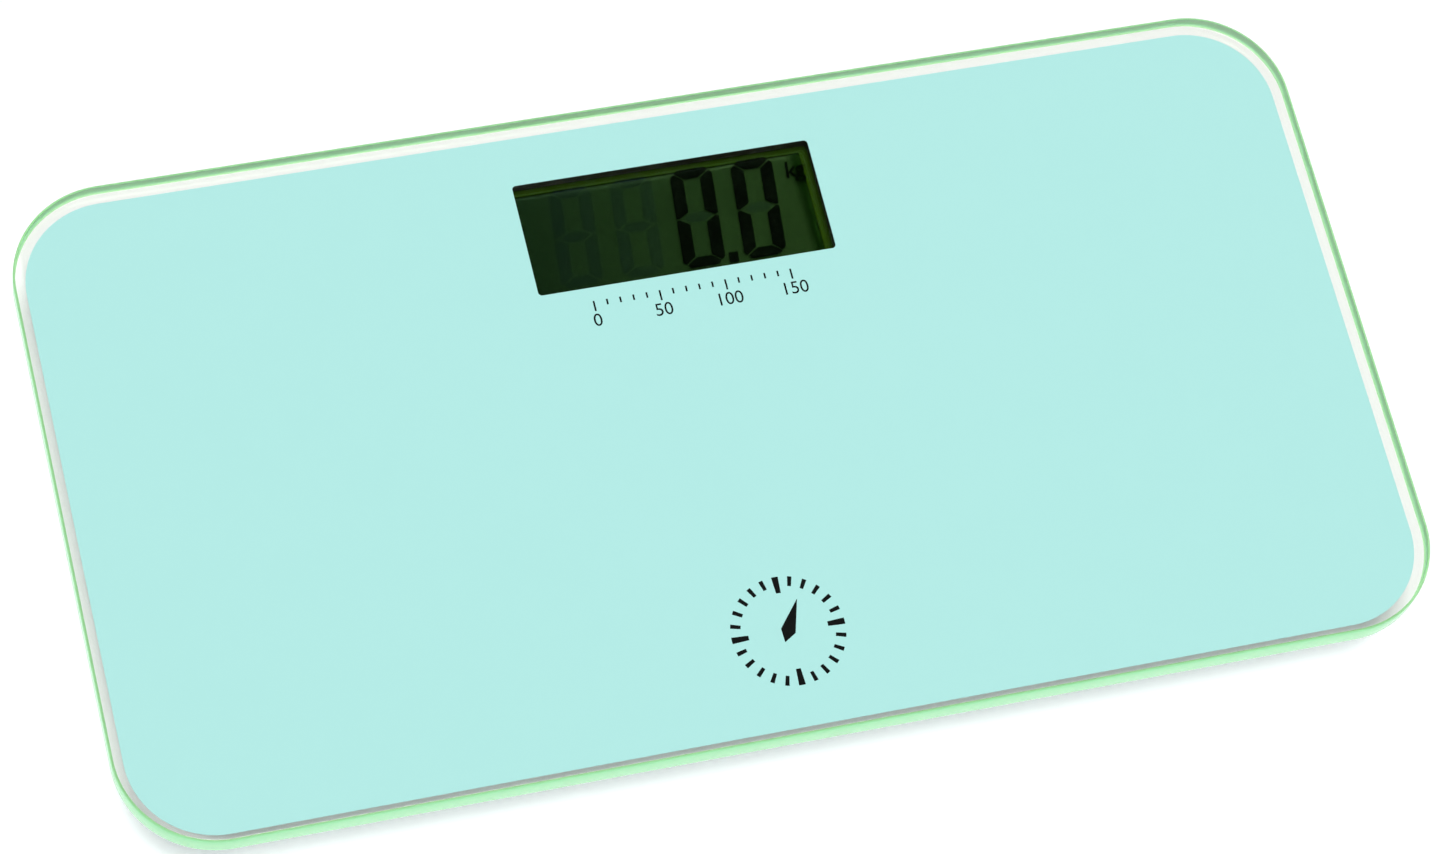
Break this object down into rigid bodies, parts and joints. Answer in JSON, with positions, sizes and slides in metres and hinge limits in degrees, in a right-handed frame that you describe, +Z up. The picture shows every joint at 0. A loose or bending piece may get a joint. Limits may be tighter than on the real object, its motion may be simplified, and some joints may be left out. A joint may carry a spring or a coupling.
{
  "type": "digital personal scale",
  "caption": "Flat glass-topped electronic scale: rounded rectangular plate with a colour-backed underside, display window, slim plastic base and a sprung foot at each corner.",
  "frame": {"origin": "on the floor, under the middle of the glass plate", "axes": "+X to the user's right along the plate's long side, +Y away from the user towards the display, +Z up"},
  "size_m": [0.26, 0.136, 0.02],
  "materials": {
    "clear_glass": "polished",
    "mint_print": "smooth ink behind glass",
    "foam_tape": "matt foam",
    "white_abs": "fine spark texture",
    "foot_abs": "satin",
    "foot_rubber": "matt",
    "cell_steel": "zinc-plated",
    "gauge_sealant": "satin",
    "wire_red": "satin",
    "wire_white": "satin",
    "black_foam": "matt foam",
    "black_abs": "satin",
    "lcd_glass": "polarising film over glass",
    "reflector_film": "satin",
    "zebra_rubber": "matt",
    "board_laminate": "solder mask",
    "black_resin": "glossy",
    "component_body": "satin",
    "switch_case": "satin",
    "key_plastic": "satin",
    "cell_can": "satin",
    "spring_nickel": "nickel-plated",
    "screw_steel": "zinc-plated"
  },
  "bodies": {
    "scale": {"glass_platform": "clear_glass", "base_frame": "white_abs", "bottom_cover": "white_abs", "battery": "cell_can", "printed_coat": "mint_print", "mounting_tape": "foam_tape", "display_gasket": "black_foam", "display_bezel": "black_abs", "lcd_front_glass": "lcd_glass", "lcd_rear_glass": "lcd_glass", "lcd_reflector": "reflector_film", "contact_strips": "zebra_rubber", "circuit_board": "board_laminate", "controller_blob": "black_resin", "board_components": "component_body", "tact_switch": "switch_case", "strain_gauges": "gauge_sealant", "battery_contact_negative": "spring_nickel", "battery_contact_positive": "spring_nickel", "battery_leads": "wire_red", "case_screws": "screw_steel", "board_screws": "screw_steel", "cell_leads_front_left": "wire_white", "cell_leads_front_right": "wire_white", "cell_leads_back_left": "wire_white", "cell_leads_back_right": "wire_white", "load_cell_front_left": "cell_steel", "load_cell_front_right": "cell_steel", "load_cell_back_left": "cell_steel", "load_cell_back_right": "cell_steel"},
    "foot_front_left": {"foot_front_left": "foot_abs", "foot_pad_front_left": "foot_rubber"},
    "foot_front_right": {"foot_front_right": "foot_abs", "foot_pad_front_right": "foot_rubber"},
    "foot_back_left": {"foot_back_left": "foot_abs", "foot_pad_back_left": "foot_rubber"},
    "foot_back_right": {"foot_back_right": "foot_abs", "foot_pad_back_right": "foot_rubber"},
    "unit_button": {"unit_button": "key_plastic", "switch_plunger": "black_abs"},
    "battery_door": {"battery_door": "white_abs"}
  },
  "joints": [
    {"name": "foot_front_left_press", "type": "slide", "parent": "scale", "child": "foot_front_left", "axis": [0, 0, 1], "range_m": [0, 0.0006], "stiffness_N_per_m": 500, "springref_m": -0.006, "deforming": ["load_cell_front_left"]},
    {"name": "foot_front_right_press", "type": "slide", "parent": "scale", "child": "foot_front_right", "axis": [0, 0, 1], "range_m": [0, 0.0006], "stiffness_N_per_m": 500, "springref_m": -0.006, "deforming": ["load_cell_front_right"]},
    {"name": "foot_back_left_press", "type": "slide", "parent": "scale", "child": "foot_back_left", "axis": [0, 0, 1], "range_m": [0, 0.0006], "stiffness_N_per_m": 500, "springref_m": -0.006, "deforming": ["load_cell_back_left"]},
    {"name": "foot_back_right_press", "type": "slide", "parent": "scale", "child": "foot_back_right", "axis": [0, 0, 1], "range_m": [0, 0.0006], "stiffness_N_per_m": 500, "springref_m": -0.006, "deforming": ["load_cell_back_right"]},
    {"name": "unit_button_press", "type": "slide", "parent": "scale", "child": "unit_button", "axis": [0, 0, 1], "range_m": [0, 0.0003], "stiffness_N_per_m": 4000, "springref_m": -0.0001},
    {"name": "battery_door_hinge", "type": "hinge", "parent": "scale", "child": "battery_door", "pos_m": [0, -0.02, 0.0056], "axis": [-1, 0, 0], "range_deg": [0, 90]}
  ]
}
